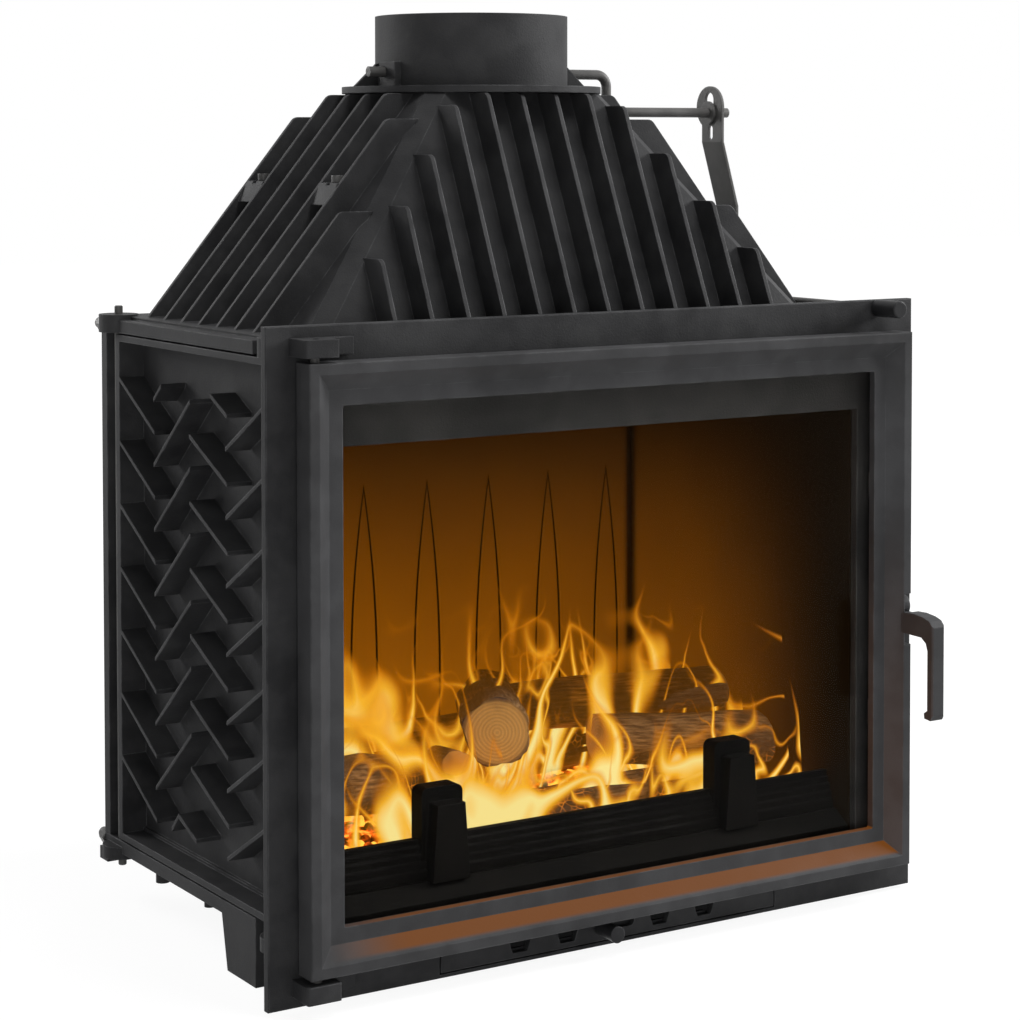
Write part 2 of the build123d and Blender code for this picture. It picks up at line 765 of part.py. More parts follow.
# Door frame with a wide bevel around the glass
with BuildPart() as door_frame:
    with BuildSketch(wall(door_back_y)):
        with Locations((door_x, door_mid_z)):
            Rectangle(door_w, door_h)
    extrude(amount=door_t)
    chamfer(faces().sort_by(Axis.Y)[0].outer_wire().edges(), 0.8)
    with BuildSketch(wall(door_front_y)):
        with Locations((door_x, door_mid_z)):
            Rectangle(door_w - 2 * face_w, door_h - 2 * face_w)
    with BuildSketch(wall(door_front_y + bevel_d)):
        with Locations((door_x, door_mid_z)):
            Rectangle(door_w - 2 * bevel_w, door_h - 2 * bevel_w)
    loft(mode=Mode.SUBTRACT)
    with BuildSketch(wall(door_front_y)):
        with Locations((door_x, door_mid_z)):
            RectangleRounded(door_w - 2 * light_w, door_h - 2 * light_w, 2)
    extrude(amount=-door_t, mode=Mode.SUBTRACT)
    with BuildSketch(wall(glass_y)):
        with Locations((door_x, door_mid_z)):
            Rectangle(door_w - 2 * pocket_w, door_h - 2 * pocket_w)
    extrude(amount=-door_t, mode=Mode.SUBTRACT)
    with BuildSketch(wall(door_back_y)):
        for x, z, turn in clip_spots:
            with Locations((x + 4.5 * sin(radians(turn)), z + 4.5 * cos(radians(turn)))):
                Circle(2.0 + run_fit)
    extrude(amount=9, mode=Mode.SUBTRACT)
    with BuildSketch(wall(door_back_y - seal_sunk)):
        with Locations((door_x, door_mid_z)):
            Rectangle(door_w - 2 * seal_in, door_h - 2 * seal_in)
            Rectangle(
                door_w - 2 * seal_in - 2 * seal_w,
                door_h - 2 * seal_in - 2 * seal_w,
                mode=Mode.SUBTRACT,
            )
    extrude(amount=-seal_sunk, mode=Mode.SUBTRACT)
    with BuildSketch(wall(door_front_y)):
        with Locations((door_x + door_w / 2, (notch_z0 + notch_z1) / 2)):
            Rectangle(2 * (door_x + door_w / 2 - handle_x) + 3, notch_z1 - notch_z0)
    extrude(amount=-door_t, mode=Mode.SUBTRACT)
    with Locations(Location((handle_x, hub_y, hub_z), (0, 90, 0))):
        Cylinder(pin_r + run_fit, 2 * pin_reach, mode=Mode.SUBTRACT)
    for z in (door_z, door_z + door_h):
        with Locations((hinge_x, hinge_y, z)):
            Cylinder(hinge_pin_d / 2 + run_fit, 2 * pin_in + 2, mode=Mode.SUBTRACT)
save(door_frame, "door_frame")

# Glass, gasket, clips and screws behind the door frame
glass_w = door_w - 2 * light_w + 2 * glass_lap
glass_h = door_h - 2 * light_w + 2 * glass_lap
with BuildPart() as glass_gasket:
    with BuildSketch(wall(glass_y)):
        with Locations((door_x, door_mid_z)):
            Rectangle(glass_w, glass_h)
            Rectangle(glass_w - 2 * glass_lap + 2, glass_h - 2 * glass_lap + 2, mode=Mode.SUBTRACT)
    extrude(amount=-gasket_t)
save(glass_gasket, "glass_gasket")

with BuildPart() as door_glass:
    with BuildSketch(wall(glass_y + gasket_t)):
        with Locations((door_x, door_mid_z)):
            RectangleRounded(glass_w, glass_h, 3)
    extrude(amount=-glass_t)
save(door_glass, "door_glass")

clip_t = 1.5
with BuildPart() as glass_clips:
    with BuildSketch(wall(door_back_y)):
        for x, z, turn in clip_spots:
            with Locations(Location((x, z, 0), (0, 0, turn))):
                Rectangle(24, 14)
            with Locations((x + 4.5 * sin(radians(turn)), z + 4.5 * cos(radians(turn)))):
                Circle(2.0 + run_fit, mode=Mode.SUBTRACT)
    extrude(amount=-clip_t)
save(glass_clips, "glass_clips")

with BuildPart() as clip_screws:
    for x, z, turn in clip_spots:
        spot = (x + 4.5 * sin(radians(turn)), z + 4.5 * cos(radians(turn)))
        with BuildSketch(wall(door_back_y - 8)):
            with Locations(spot):
                Circle(2.0)
        extrude(amount=-8 - clip_t)
        with BuildSketch(wall(door_back_y + clip_t)):
            with Locations(spot):
                Circle(3.2)
        extrude(amount=-1.6)
save(clip_screws, "clip_screws")

# Rope seal on the back of the door
with BuildPart() as door_seal:
    with BuildSketch(wall(door_back_y - seal_sunk)):
        with Locations((door_x, door_mid_z)):
            Rectangle(door_w - 2 * seal_in - 0.4, door_h - 2 * seal_in - 0.4)
            Rectangle(
                door_w - 2 * seal_in - 2 * seal_w + 0.4,
                door_h - 2 * seal_in - 2 * seal_w + 0.4,
                mode=Mode.SUBTRACT,
            )
    extrude(amount=-(seal_sunk + door_gap - seal_gap))
save(door_seal, "door_seal")

# Handle that lifts on a cross pin in the right edge of the door
arm_y = front_y - handle_reach
with BuildPart() as door_handle:
    with BuildSketch(side(handle_x)):
        with Locations((hub_y, hub_z)):
            Circle(hub_r)
        with BuildLine():
            Polyline(
                (hub_y + 9, hub_z - 4),
                (hub_y - 6, hub_z - 8),
                (hub_y - 8, arm_top_z - 18),
                (hub_y + 4, arm_top_z - 18),
                close=True,
            )
        make_face()
        with Locations((hub_y + 15, hub_z)):
            Rectangle(30, 9)
    extrude(amount=handle_w)
    grip_z = arm_top_z - grip_h
    with BuildSketch(side(handle_x + handle_w - grip_w - 1.5)):
        with BuildLine():
            Polyline(
                (door_front_y - 2, arm_top_z - 2),
                (door_front_y - 9, arm_top_z),
                (door_front_y - 21, arm_top_z + 0.5),
                (arm_y + 13, arm_top_z - 1),
                (arm_y + 5, arm_top_z - 3.5),
                (arm_y, arm_top_z - 9),
                (arm_y, grip_z + 5),
                (arm_y + 3, grip_z),
                (arm_y + grip_d + 4, grip_z + 1),
                (arm_y + grip_d + 4.5, grip_z + 6),
                (arm_y + grip_d, grip_z + 9),
                (arm_y + grip_d, arm_top_z - 32),
                (arm_y + grip_d + 2.5, arm_top_z - 25),
                (arm_y + grip_d + 9, arm_top_z - 20.5),
                (door_front_y - 2, arm_top_z - 20),
                close=True,
            )
        make_face()
    extrude(amount=grip_w)
    chamfer(edges().filter_by(Axis.Z).group_by(Axis.Y)[0], 1.2)
    with BuildSketch(side(handle_x)):
        with Locations(((hub_y + door_front_y - 3) / 2 - 2, arm_top_z - 11)):
            Rectangle(hub_y - door_front_y + 7, 17)
    extrude(amount=handle_w)
    with Locations(Location((handle_x, hub_y, hub_z), (0, 90, 0))):
        Cylinder(pin_r, 40, mode=Mode.SUBTRACT)
save(door_handle, "door_handle")

with BuildPart() as handle_pin:
    with BuildSketch(side(handle_x - pin_reach + 0.4)):
        with Locations((hub_y, hub_z)):
            Circle(pin_r)
    extrude(amount=handle_w + pin_reach - 0.4)
save(handle_pin, "handle_pin")

# Catch behind the front plate with a cross pin above the handle nose
with BuildPart() as latch_catch:
    for x in (handle_x - 7.5, handle_x + handle_w + 4.5):
        with BuildSketch(side(x)):
            with Locations((front_y + plate_t + 9, hub_z + 12)):
                Rectangle(18, 24)
        extrude(amount=3)
    with BuildSketch(side(handle_x - 7.5)):
        with Locations((front_y + 13.5, hub_z + 4.5 + 0.6 + 3)):
            Circle(3)
    extrude(amount=handle_w + 15)
save(latch_catch, "latch_catch")

# Firebox lining plates, the back one with a row of pointed leaves
leaf_pitch = 74.5
leaf_z = 383.5
leaf_foot = box_z + 60
leaf_lines = [
    (15, leaf_foot, leaf_z, Mode.ADD),
    (12.2, leaf_foot - 1, leaf_z - 11, Mode.SUBTRACT),
]
with BuildPart() as lining_back:
    with BuildSketch(wall(lining_y)):
        with Locations((0, (box_z + lining_top_z) / 2)):
            Rectangle(2 * lining_x + 2 * lining_t, lining_top_z - box_z)
    extrude(amount=-lining_t)
    with BuildSketch(wall(lining_y)):
        for i in range(-3, 4):
            x = i * leaf_pitch + 25
            for half, foot, tip, mode in leaf_lines:
                with BuildLine():
                    Line((x - half, foot), (x + half, foot))
                    ThreePointArc((x + half, foot), (x + half - 2, leaf_z - 106), (x, tip))
                    ThreePointArc((x, tip), (x - half + 2, leaf_z - 106), (x - half, foot))
                make_face(mode=mode)
    extrude(amount=-3, mode=Mode.SUBTRACT)
save(lining_back, "lining_back")

with BuildPart() as lining_left:
    with BuildSketch(side(-lining_x - lining_t)):
        with Locations(((lining_front_y + lining_y) / 2, (box_z + lining_top_z) / 2)):
            Rectangle(lining_y - lining_front_y - 2 * part_gap, lining_top_z - box_z)
    extrude(amount=lining_t)
save(lining_left, "lining_left")

with BuildPart() as lining_right:
    mirror(lining_left.part, about=Plane.YZ)
save(lining_right, "lining_right")

# Baffle plate that rests on the lining
with BuildPart() as baffle_plate:
    with BuildSketch(Plane.XY.offset(lining_top_z)):
        with Locations((0, (front_y + 120 + lining_y + lining_t) / 2)):
            Rectangle(2 * lining_x + 2 * lining_t, lining_y + lining_t - front_y - 120)
    extrude(amount=baffle_t)
    chamfer(edges().group_by(Axis.Y)[0].sort_by(Axis.Z)[-1], 6)
save(baffle_plate, "baffle_plate")

# Ash tray hanging in the base and the grate that covers it
tray_z = box_z - 6
with BuildPart() as ash_tray:
    with BuildSketch(Plane.XY.offset(tray_z)):
        with Locations((0, grate_y)):
            Rectangle(grate_w - 2, grate_d - 2)
    extrude(amount=1.5)
    with BuildSketch(Plane.XY.offset(tray_z - 37)):
        with Locations((0, grate_y)):
            Rectangle(grate_w - 18, grate_d - 18)
    extrude(amount=37)
    with BuildSketch(Plane.XY.offset(tray_z - 35)):
        with Locations((0, grate_y)):
            Rectangle(grate_w - 22, grate_d - 22)
    extrude(amount=60, mode=Mode.SUBTRACT)
save(ash_tray, "ash_tray")

with BuildPart() as fire_grate:
    with BuildSketch(Plane.XY.offset(tray_z + 1.5)):
        with Locations((0, grate_y)):
            Rectangle(grate_w - 2, grate_d - 2)
            with GridLocations(24, 60, 8, 2):
                SlotOverall(52, 9, rotation=90, mode=Mode.SUBTRACT)
    extrude(amount=9)
save(fire_grate, "fire_grate")

# Sloping apron and log fence at the front of the fire bed
with BuildPart() as ash_apron:
    with BuildSketch(side(-lining_x + 1)):
        with BuildLine():
            Polyline(
                (front_y + plate_t + 1, box_z),
                (front_y + plate_t + 1, box_z + 9),
                (front_y + 27, box_z + 21),
                (front_y + 50, box_z + 21),
                (front_y + 50, box_z),
                close=True,
            )
        make_face()
    extrude(amount=2 * lining_x - 2)
save(ash_apron, "ash_apron")

fence_z = box_z + 21
fence_h = 35.5
fence_dog_x = 160.0
dog_h = 81.0
with BuildPart() as log_fence:
    with BuildSketch(side(-lining_x + 2)):
        with BuildLine():
            Polyline(
                (front_y + 30, fence_z),
                (front_y + 30, fence_z + 9),
                (front_y + 32.5, fence_z + 10),
                (front_y + 32.5, fence_z + 16),
                (front_y + 35, fence_z + 17),
                (front_y + 35, fence_z + 23),
                (front_y + 37.5, fence_z + 24),
                (front_y + 37.5, fence_z + 29),
                (front_y + 40, fence_z + 30),
                (front_y + 40, fence_z + fence_h),
                (front_y + 46, fence_z + fence_h),
                (front_y + 46, fence_z),
                close=True,
            )
        make_face()
    extrude(amount=2 * lining_x - 4)
    for x in (-fence_dog_x, fence_dog_x):
        with BuildSketch(wall(front_y + 52)):
            with Locations((x - 1, fence_z + dog_h / 2)):
                Rectangle(42, dog_h)
            fillet(vertices().group_by(Axis.Z)[-1], 7)
        extrude(amount=18)
        with BuildSketch(wall(front_y + 36)):
            with BuildLine():
                Polyline(
                    (x - 19, fence_z),
                    (x + 19, fence_z),
                    (x + 14, fence_z + dog_h - 13),
                    (x - 14, fence_z + dog_h - 13),
                    close=True,
                )
            make_face()
        extrude(amount=17)
save(log_fence, "log_fence")
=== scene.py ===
import math

import bmesh
import bpy
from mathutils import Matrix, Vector, noise


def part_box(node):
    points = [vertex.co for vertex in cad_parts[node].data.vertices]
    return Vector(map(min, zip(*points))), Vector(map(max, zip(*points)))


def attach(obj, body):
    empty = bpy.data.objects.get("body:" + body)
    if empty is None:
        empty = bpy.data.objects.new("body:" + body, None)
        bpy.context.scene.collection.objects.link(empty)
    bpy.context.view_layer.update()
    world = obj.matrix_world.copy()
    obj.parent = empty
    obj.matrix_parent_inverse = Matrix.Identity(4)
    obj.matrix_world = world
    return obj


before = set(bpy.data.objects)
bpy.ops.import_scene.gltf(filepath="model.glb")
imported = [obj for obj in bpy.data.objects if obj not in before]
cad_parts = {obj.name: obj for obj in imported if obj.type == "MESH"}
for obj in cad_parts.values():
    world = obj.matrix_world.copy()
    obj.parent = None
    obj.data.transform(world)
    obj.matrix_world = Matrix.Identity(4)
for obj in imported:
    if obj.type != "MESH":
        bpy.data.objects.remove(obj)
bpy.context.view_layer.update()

# The insert stands on a white studio floor under plain white light.
# The camera looks at its front from the left, a little below the collar.
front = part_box("front_plate")[0][1]
camera_data = bpy.data.cameras.new("camera")
camera_data.lens = 89.80
camera_data.sensor_width = 36.0
camera_data.shift_y = -0.2626
camera_data.clip_end = 60.0
camera = bpy.data.objects.new("camera", camera_data)
camera.location = (-1.29324, front - 1.88426, 0.73477)
camera.rotation_euler = (math.radians(87.6615), math.radians(0.0543), math.radians(-32.1059))
bpy.context.scene.collection.objects.link(camera)
bpy.context.scene.camera = camera
bpy.context.scene.view_settings.view_transform = "Standard"

world = bpy.data.worlds.new("studio")
bpy.context.scene.world = world
world.use_nodes = True
world.node_tree.nodes.clear()


class Signal:
    """One socket of a material, so that shader maths reads as plain maths."""

    def __init__(self, tree, socket=None):
        self.tree = tree
        self.socket = socket

    def make(self, kind, settings, sockets, output=0):
        """Adds a node of a kind with its settings and its sockets' values or links."""
        node = self.tree.nodes.new("ShaderNode" + kind)
        for name, value in settings.items():
            if name == "stops":
                ramp = node.color_ramp
                while len(ramp.elements) < len(value):
                    ramp.elements.new(0.5)
                for element, (place, shade) in zip(ramp.elements, value):
                    element.position = place
                    element.color = (*shade, 1.0)
            else:
                setattr(node, name, value)
        for key, value in sockets.items():
            if isinstance(value, Signal):
                self.tree.links.new(value.socket, node.inputs[key])
            else:
                node.inputs[key].default_value = value
        return Signal(self.tree, node.outputs[output])

    def make_end(self, kind="OutputMaterial"):
        """Leads this shader to the surface of a material or of the sky."""
        end = self.tree.nodes.new("ShaderNode" + kind)
        self.tree.links.new(self.socket, end.inputs["Surface"])

    def maths(self, operation, other=0.0):
        return self.make("Math", {"operation": operation}, {0: self, 1: other})

    def __add__(self, other):
        return self.maths("ADD", other)

    def __mul__(self, other):
        return self.maths("MULTIPLY", other)

    def __sub__(self, other):
        return self.maths("SUBTRACT", other)

    def __rsub__(self, other):
        return (self * -1.0) + other

    def over(self, low, high):
        """0 below low and 1 above high, with a smooth step between."""
        return self.make(
            "MapRange",
            {"interpolation_type": "SMOOTHSTEP"},
            {"Value": self, "From Min": low, "From Max": high},
        )

    def tint(self, dark, light):
        """A colour that goes from dark to light with this value."""
        return self.make(
            "Mix",
            {"data_type": "RGBA", "clamp_factor": True},
            {0: self, 6: (*dark, 1.0), 7: (*light, 1.0)},
            output=2,
        )

    def blend(self, first, second):
        """The first colour where this value is 0 and the second where it is 1."""
        return self.make(
            "Mix", {"data_type": "RGBA", "clamp_factor": True}, {0: self, 6: first, 7: second}, output=2
        )


def looked_at(start):
    """1 for a ray from the camera, also by a reflection or through glass, and 0 for lighting."""
    seen = start.make("LightPath", {}, {}, "Is Camera Ray")
    for way in ("Is Glossy Ray", "Is Transmission Ray"):
        seen = seen.maths("MAXIMUM", start.make("LightPath", {}, {}, way))
    return seen


sky = Signal(world.node_tree)
plain = sky.make("Background", {}, {"Color": (1.0, 1.0, 1.0, 1.0), "Strength": 0.22})
white = sky.make("Background", {}, {"Color": (1.0, 1.0, 1.0, 1.0), "Strength": 1.0})
sky.make("MixShader", {}, {0: looked_at(sky), 1: plain, 2: white}).make_end("OutputWorld")

# Each lamp has a name, a place, a point that it shines at, a width and a power.
lamps = (
    ("key_lamp", (2.7, -0.9, 1.7), (0.0, 0.0, 0.6), 1.1, 105.0),
    ("left_lamp", (-1.4, -2.2, 0.4), (-0.1, 0.0, 0.25), 0.9, 14.0),
    ("top_lamp", (0.3, -0.9, 2.8), (0.0, 0.0, 0.5), 0.9, 42.0),
    ("rear_lamp", (-1.5, 2.4, 1.6), (0.0, 0.0, 0.6), 1.2, 46.0),
)
for name, place, target, width, power in lamps:
    lamp = bpy.data.lights.new(name, "AREA")
    lamp.shape = "SQUARE"
    lamp.size = width
    lamp.energy = power
    lamp_object = bpy.data.objects.new(name, lamp)
    lamp_object.location = place
    aim = (Vector(target) - Vector(place)).to_track_quat("-Z", "Y")
    lamp_object.rotation_euler = aim.to_euler()
    bpy.context.scene.collection.objects.link(lamp_object)

floor_mesh = bpy.data.meshes.new("floor")
reach = 12
floor_mesh.from_pydata(
    [(-reach, -reach, 0), (reach, -reach, 0), (reach, reach, 0), (-reach, reach, 0)],
    [],
    [(0, 1, 2, 3)],
)
floor = bpy.data.objects.new("floor", floor_mesh)
bpy.context.scene.collection.objects.link(floor)


def fresh(name):
    """A new material and the start of its empty tree."""
    material = bpy.data.materials.new(name)
    material.use_nodes = True
    material.node_tree.nodes.clear()
    return material, Signal(material.node_tree)


floor_paint, ground = fresh("studio_floor")
pale = ground.make("BsdfDiffuse", {}, {"Color": (0.8, 0.8, 0.8, 1.0)})
spot = ground.make("TexCoord", {}, {}, "Object")
away = ground.make("VectorMath", {"operation": "LENGTH"}, {0: spot}, "Value").over(0.5, 2.2)
glow = ground.make("Emission", {}, {"Color": away * 0.12 + 1.1, "Strength": 1.0})
glow_share = looked_at(ground) * 0.84
ground.make("MixShader", {}, {0: glow_share, 1: pale, 2: glow}).make_end()
floor_mesh.materials.append(floor_paint)

# The body is grey iron, poured in sand and sprayed with matt black stove paint:
# base, side and rear panels, hood, collar, front plate, air panel and hinge blocks.
# The sand leaves a fine grain, and the edges are painted lighter, as paint rubbed thin and as a painted
# highlight.
cast_nodes = (
    "base_casting",
    "side_panel_left",
    "side_panel_right",
    "rear_panel",
    "smoke_hood",
    "flue_collar",
    "front_plate",
    "air_panel",
    "hinge_blocks",
)


def dress(names, material):
    """Puts a material on CAD nodes."""
    for name in names:
        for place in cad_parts[name].material_slots:
            place.material = material


def finish_surface(start, colour, rough, bumped, more=None):
    """One Principled shader with this colour, roughness and bump."""
    sockets = {"Base Color": colour, "Roughness": rough}
    if bumped is not None:
        sockets["Normal"] = bumped
    sockets.update(more or {})
    start.make("BsdfPrincipled", {}, sockets).make_end()


def iron_paint(name, dark, light, sheen, grain, rub_and_highlight, gloss=0.12, painted_warmth=None):
    """Matt stove paint over iron, in clouds between two tones.

    Sheen is the least roughness, grain the depth of the sand's bumps, rub how much lighter the edges are,
    as paint rubbed thin and as a painted highlight, and gloss the specular level. Warmth is a function
    that paints the fire's light on as emission, over a base colour darkened under it.
    """
    material, start = fresh(name)
    where = start.make("TexCoord", {}, {}, "Object")
    cloud = start.make("TexNoise", {}, {"Vector": where, "Scale": 7.0, "Detail": 5.0})
    sand = start.make("TexNoise", {}, {"Vector": where, "Scale": 900.0, "Detail": 2.0})
    pits = start.make("TexVoronoi", {}, {"Vector": where, "Scale": 420.0})
    stain = start.make("TexNoise", {}, {"Vector": where, "Scale": 38.0, "Detail": 6.0})
    edge_radius = 0.0016
    rounded = start.make("Bevel", {"samples": 4}, {"Radius": edge_radius})
    straight = start.make("NewGeometry", {}, {}, "Normal")
    turn = start.make("VectorMath", {"operation": "DOT_PRODUCT"}, {0: rounded, 1: straight}, "Value")
    # The edges are lighter in patches: paint rubbed thin, and also a painted highlight.
    rubbed_and_highlit_edge = (1.0 - turn).over(0.02, 0.22) * stain.over(0.35, 0.62)
    tone = (cloud.over(0.3, 0.7) * 0.6 + stain.over(0.35, 0.65) * 0.4).tint(dark, light)
    bare_iron_and_highlight = (0.16, 0.16, 0.165, 1.0)
    colour = (rubbed_and_highlit_edge * rub_and_highlight).blend(tone, bare_iron_and_highlight)
    height = sand * 0.6 + pits * 0.35 + stain * 0.25
    bumped = start.make(
        "Bump", {}, {"Strength": grain, "Distance": 0.0006, "Height": height, "Normal": rounded}
    )
    rough = (stain * 0.25 + sheen) - rubbed_and_highlit_edge * 0.12
    more = {"Specular IOR Level": gloss}
    if painted_warmth is not None:
        # The painted fire glow is emitted by the paint, and the base colour is darkened under it.
        glow = painted_warmth(start, where, straight)
        dark_under_painted_glow = (0.006, 0.003, 0.001, 1.0)
        colour = glow.over(0.0, 0.08).blend(colour, dark_under_painted_glow)
        more.update({"Emission Color": glow, "Emission Strength": 1.0})
    finish_surface(start, colour, rough, bumped, more)
    return material


cast_paint = iron_paint(
    "matt_cast_iron", (0.018, 0.018, 0.019), (0.040, 0.040, 0.041), 0.45, 0.45, 0.6, 0.08
)
dress(cast_nodes, cast_paint)

# The log fence and the apron in front of the fire are black with soot.
sooty = iron_paint("sooty_iron", (0.002, 0.002, 0.002), (0.006, 0.0055, 0.005), 0.5, 0.3, 0.1, 0.03)
dress(("ash_apron", "log_fence"), sooty)

# The door frame is a finer casting of the same iron, fettled smooth.
# A warm glow is painted on its lower and right bevels as emission, standing for the fire's light behind
# the glass.
door_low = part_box("door_frame")[0]


def painted_fire_glow_on_door(start, where, facing):
    """Painted warm light, as emission, on the faces that look up at the fire or across at it."""
    place = [start.make("SeparateXYZ", {}, {"Vector": where}, axis) for axis in range(3)]
    face = [start.make("SeparateXYZ", {}, {"Vector": facing}, axis) for axis in range(3)]
    near_bottom = place[2].over(door_low[2] + 0.05, door_low[2] + 0.03)
    off_left_end = place[0].over(-0.31, -0.22)
    behind_face = place[1].over(door_low[1] + 0.001, door_low[1] + 0.004)
    painted_sill_glow = face[2].over(0.2, 0.45) * near_bottom * off_left_end * behind_face
    painted_jamb_glow = face[0].over(-0.2, -0.5) * place[0].over(0.25, 0.29) * place[2].over(0.42, 0.12)
    painted_fire_orange = (0.15, 0.042, 0.0)
    return (painted_sill_glow + painted_jamb_glow * 0.12).tint((0.0, 0.0, 0.0), painted_fire_orange)


door_paint = iron_paint(
    "door_iron_painted_glow", (0.030, 0.030, 0.031), (0.052, 0.052, 0.054), 0.42, 0.22, 0.6, 0.08, painted_fire_glow_on_door
)
dress(("door_frame", "door_handle"), door_paint)

# Small steel parts: tie rods, studs, pins, screws and the damper linkage.
# They are plain turned or pressed steel, blackened by oil and heat.
# The damper blade, knobs, air shutter, clips, catch and ash tray are painted black.
steel = iron_paint("blackened_steel", (0.055, 0.054, 0.053), (0.10, 0.098, 0.095), 0.22, 0.12, 0.9)
dress(
    ("rear_studs", "rear_nuts", "tie_rods", "hood_screws", "damper_axle", "blade_screws",
     "crank_washer", "damper_strap", "damper_rod", "strap_bolt", "air_stem", "hinge_pins",
     "clip_screws", "handle_pin"),
    steel,
)
black_steel = iron_paint("black_steel", (0.012, 0.012, 0.013), (0.026, 0.026, 0.027), 0.3, 0.1, 0.4)
dress(
    ("damper_blade", "damper_knob", "air_shutter", "air_knob", "glass_clips", "latch_catch",
     "ash_tray"),
    black_steel,
)

# The firebox is lined with iron plates that the fire has browned.
# The fire's amber light is painted on them as emission, with painted shade in the leaf grooves and the
# corner.
# The baffle plate and the grate are the same iron.
lining, start = fresh("browned_lining_painted_firelight")
where = start.make("TexCoord", {}, {}, "Object")
cloud = start.make("TexNoise", {}, {"Vector": where, "Scale": 5.0, "Detail": 6.0})
sand = start.make("TexNoise", {}, {"Vector": where, "Scale": 700.0, "Detail": 2.0})
place = [start.make("SeparateXYZ", {}, {"Vector": where}, axis) for axis in range(3)]

# The grooves lie behind the back plate's face, and the corner is its right end; both get painted shade.
back_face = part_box("lining_back")[0][1]
painted_groove_shade = place[1].over(back_face + 0.0006, back_face + 0.0014)
right_edge = place[0].over(0.270, 0.279)
corner = place[1].over(back_face - 0.016, back_face - 0.001) * right_edge
painted_shade_share = 0.93
# The fire's amber light is painted on as emission, brightest low down.
lit = place[2].over(0.50, 0.12) * place[1].over(front + 0.02, front + 0.30)
lit = lit * (1.0 - place[0].over(-0.10, 0.34) * 0.35) * (cloud * 0.8 + 0.7)
lit = lit * (1.0 - painted_groove_shade.maths("MAXIMUM", corner) * painted_shade_share)
tone = cloud.tint((0.006, 0.004, 0.002), (0.016, 0.008, 0.002))
painted_fire_amber = (0.26, 0.078, 0.001)
glow = lit.tint((0.0, 0.0, 0.0), painted_fire_amber)
bumped = start.make("Bump", {}, {"Strength": 0.25, "Distance": 0.0006, "Height": sand})
finish_surface(
    start, tone, 0.8, bumped,
    {"Emission Color": glow, "Emission Strength": 1.0, "Specular IOR Level": 0.04},
)
dress(("lining_back", "lining_left", "lining_right", "baffle_plate", "fire_grate"), lining)

# The pane is clear glass ceramic behind the door frame.
# It is nearly invisible but for a weak reflection.
glass, start = fresh("clear_glass")
where = start.make("TexCoord", {}, {}, "Object")
haze = start.make("TexNoise", {}, {"Vector": where, "Scale": 6.0, "Detail": 3.0})
clear = start.make("BsdfTransparent", {}, {"Color": (0.96, 0.95, 0.93, 1.0)})
shine = start.make("BsdfGlossy", {}, {"Color": (0.9, 0.9, 0.9, 1.0), "Roughness": haze * 0.08})
shine_share = 0.02
share = start.make("Fresnel", {}, {"IOR": 1.45}) * shine_share
start.make("MixShader", {}, {0: share, 1: clear, 2: shine}).make_end()
dress(("door_glass",), glass)

# Seals: a knitted glass-fibre rope in a groove at the back of the door,
# and a thin tape of the same fibre between the pane and the frame.
rope, start = fresh("fibre_rope")
where = start.make("TexCoord", {}, {}, "Object")
knit = start.make(
    "TexWave", {"bands_direction": "DIAGONAL"}, {"Vector": where, "Scale": 180.0, "Distortion": 2.0}
)
tone = knit.tint((0.02, 0.02, 0.02), (0.07, 0.07, 0.068))
bumped = start.make("Bump", {}, {"Strength": 0.6, "Distance": 0.001, "Height": knit})
finish_surface(start, tone, 0.95, bumped)
dress(("door_seal", "glass_gasket"), rope)

# The fire bed holds round beech logs, charred where the flames reach.
# Each log is a bark-covered billet with sawn ends.
bark, start = fresh("bark")
spread = start.make("UVMap", {"uv_map": "log"}, {})
where = start.make("TexCoord", {}, {}, "Object")
stretched = start.make("Mapping", {}, {"Vector": spread, "Scale": (60.0, 9.0, 1.0)})
ridges = start.make("TexNoise", {}, {"Vector": stretched, "Scale": 1.0, "Detail": 8.0})
char = start.make("TexNoise", {}, {"Vector": where, "Scale": 16.0, "Detail": 5.0})
low = start.make("SeparateXYZ", {}, {"Vector": where}, 2).over(0.175, 0.11)
bark_tone = ridges.over(0.3, 0.7).tint((0.06, 0.030, 0.012), (0.46, 0.28, 0.13))
burnt = (char.over(0.40, 0.56) * 0.85 + low * 0.4).maths("MINIMUM", 1.0)
tone = burnt.blend(bark_tone, ridges.tint((0.004, 0.003, 0.003), (0.03, 0.022, 0.018)))
cracks = start.make(
    "TexVoronoi", {"feature": "DISTANCE_TO_EDGE"}, {"Vector": where, "Scale": 130.0}
)
ember = cracks.over(0.06, 0.0) * char.over(0.50, 0.66) * low
bumped = start.make("Bump", {}, {"Strength": 0.9, "Distance": 0.004, "Height": ridges + cracks * 0.4})
# Outside the cracks the bark emits a faint orange all over, as painted firelight; in the cracks the glow
# is the embers' own.
finish_surface(
    start,
    tone,
    0.9,
    bumped,
    {"Emission Color": ember.tint((0.055, 0.019, 0.001), (1.0, 0.30, 0.02)), "Emission Strength": 1.3},
)

